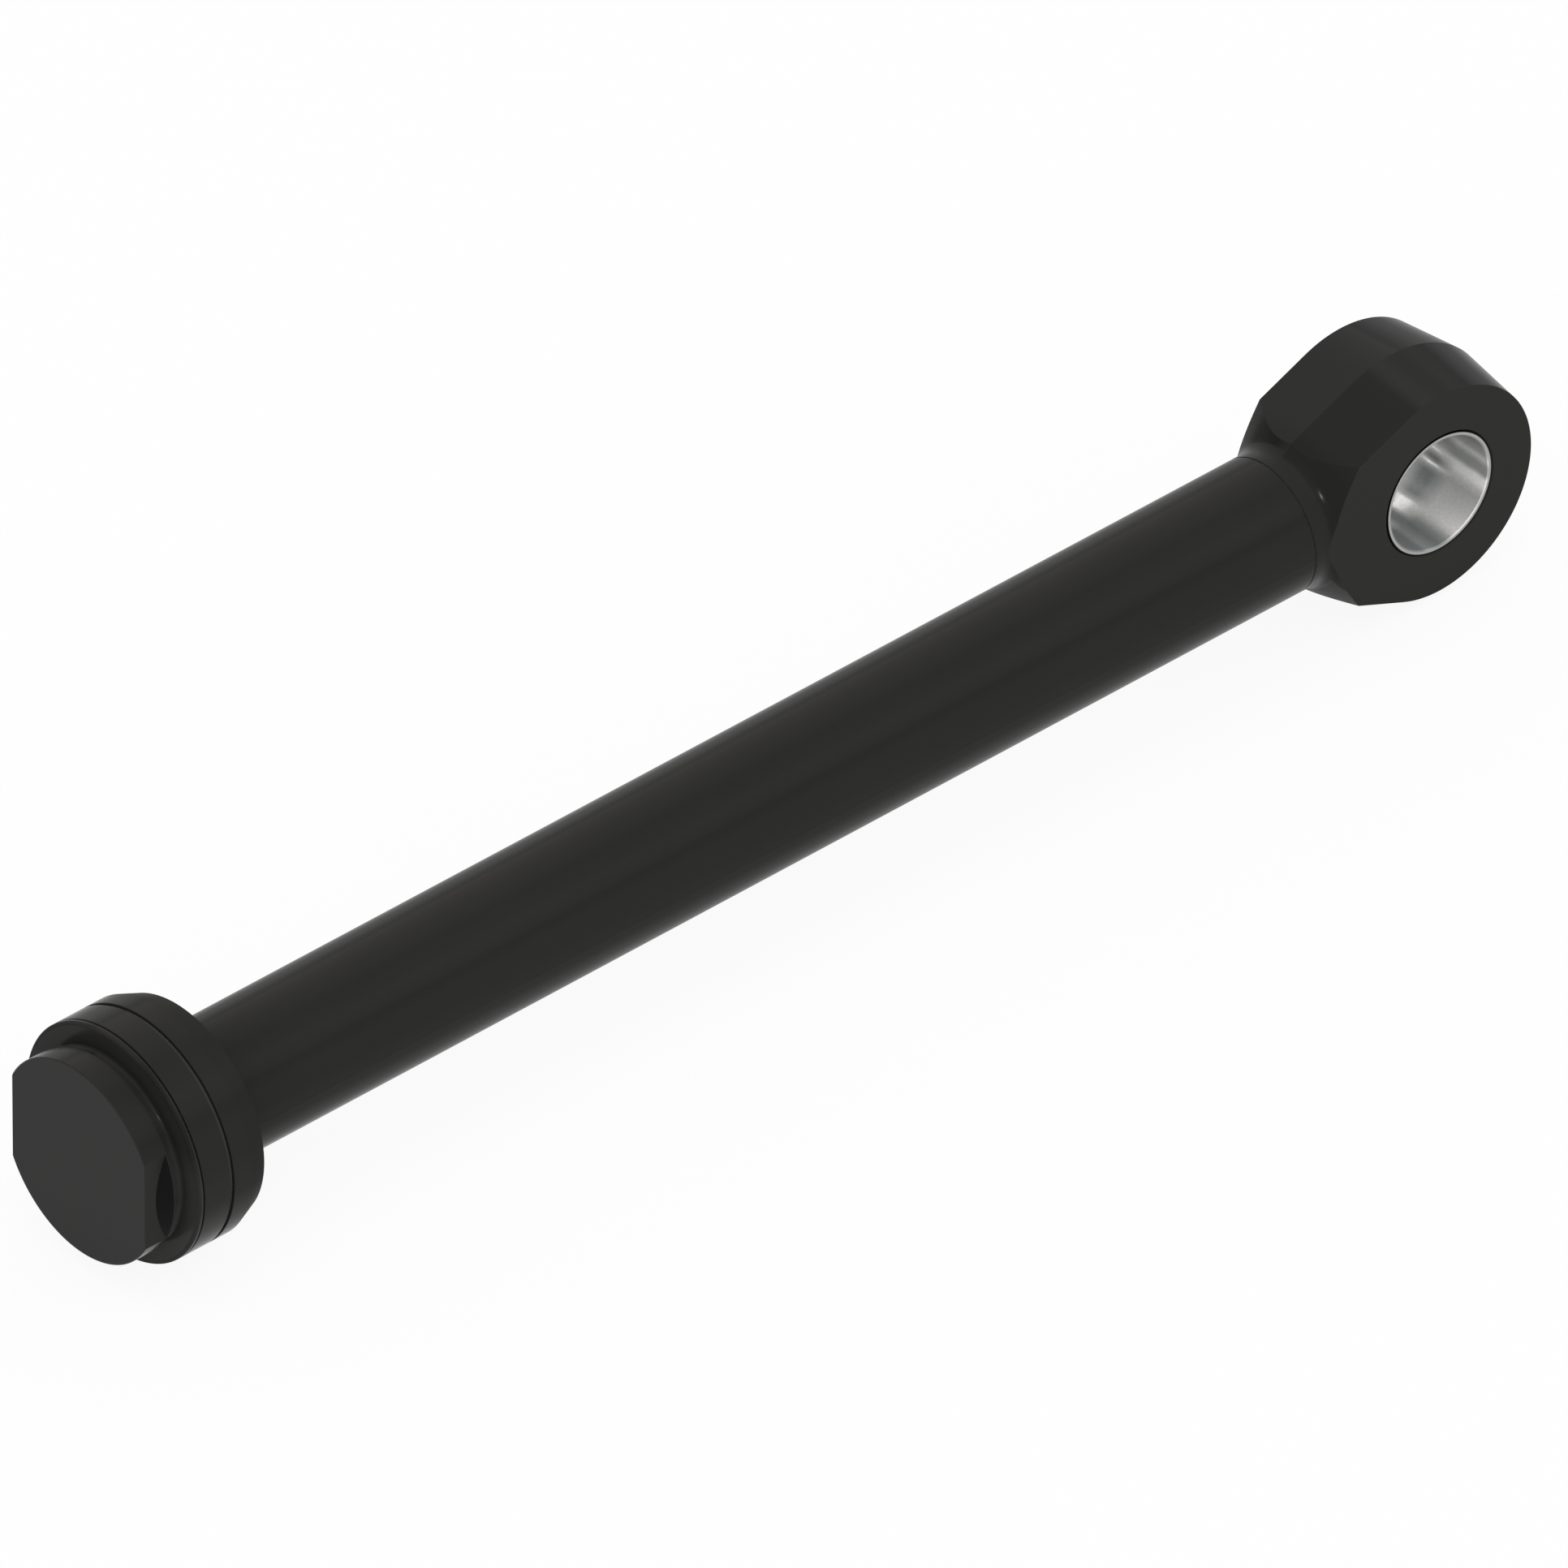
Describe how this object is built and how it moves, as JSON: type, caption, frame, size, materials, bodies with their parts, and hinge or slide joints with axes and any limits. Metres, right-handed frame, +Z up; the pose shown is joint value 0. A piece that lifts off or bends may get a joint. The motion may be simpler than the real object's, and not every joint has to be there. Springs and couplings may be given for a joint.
{
  "type": "hydraulic cylinder",
  "caption": "Double-acting hydraulic cylinder, shown retracted: long black barrel, base eye with a steel bushing, stepped bolted collar and a round rod head with flats.",
  "frame": {"origin": "centre of the base eye's pin bore, midway along the pin", "axes": "+X along the cylinder from the base eye to the rod head, +Y along the pin, +Z up"},
  "size_m": [0.937, 0.132, 0.132],
  "materials": {
    "black_paint": "smooth gloss black paint",
    "bushing_steel": "reamed bare steel",
    "hard_chrome": "ground and polished hard chrome",
    "machined_steel": "turned steel",
    "zinc_plate": "zinc plated",
    "black_oxide": "black oxide",
    "nitrile_rubber": "matt moulded rubber",
    "polyurethane": "satin cast polyurethane",
    "slipper_plastic": "bronze-filled slipper plastic",
    "guide_strip": "fabric-reinforced resin strip"
  },
  "bodies": {
    "barrel": {"barrel_tube": "black_paint", "base_eye": "black_paint", "eye_bushing": "bushing_steel", "grease_nipple": "zinc_plate", "base_port_boss": "black_paint", "rod_port_boss": "black_paint", "barrel_flange": "black_paint", "flange_screws": "black_oxide", "gland": "black_paint", "gland_cap": "black_paint", "rod_wiper": "polyurethane", "rod_seal": "polyurethane", "buffer_seal": "slipper_plastic", "rod_guide_rear": "guide_strip", "rod_guide_front": "guide_strip", "gland_backup_ring": "slipper_plastic", "gland_o_ring": "nitrile_rubber"},
    "piston_rings": {"piston_guide_rear": "guide_strip", "piston_guide_front": "guide_strip", "piston_seal": "slipper_plastic", "piston_energizer": "nitrile_rubber"},
    "rod": {"piston_rod": "hard_chrome", "rod_head": "black_paint", "piston": "machined_steel", "piston_static_o_ring": "nitrile_rubber", "piston_nut": "zinc_plate", "stop_tube": "machined_steel"}
  },
  "joints": [
    {"name": "rod_slide", "type": "slide", "parent": "barrel", "child": "piston_rings", "axis": [1, 0, 0], "range_m": [0, 0.575]},
    {"name": "rod_turn", "type": "hinge", "parent": "piston_rings", "child": "rod", "pos_m": [0, 0, 0], "axis": [1, 0, 0], "continuous": true}
  ]
}
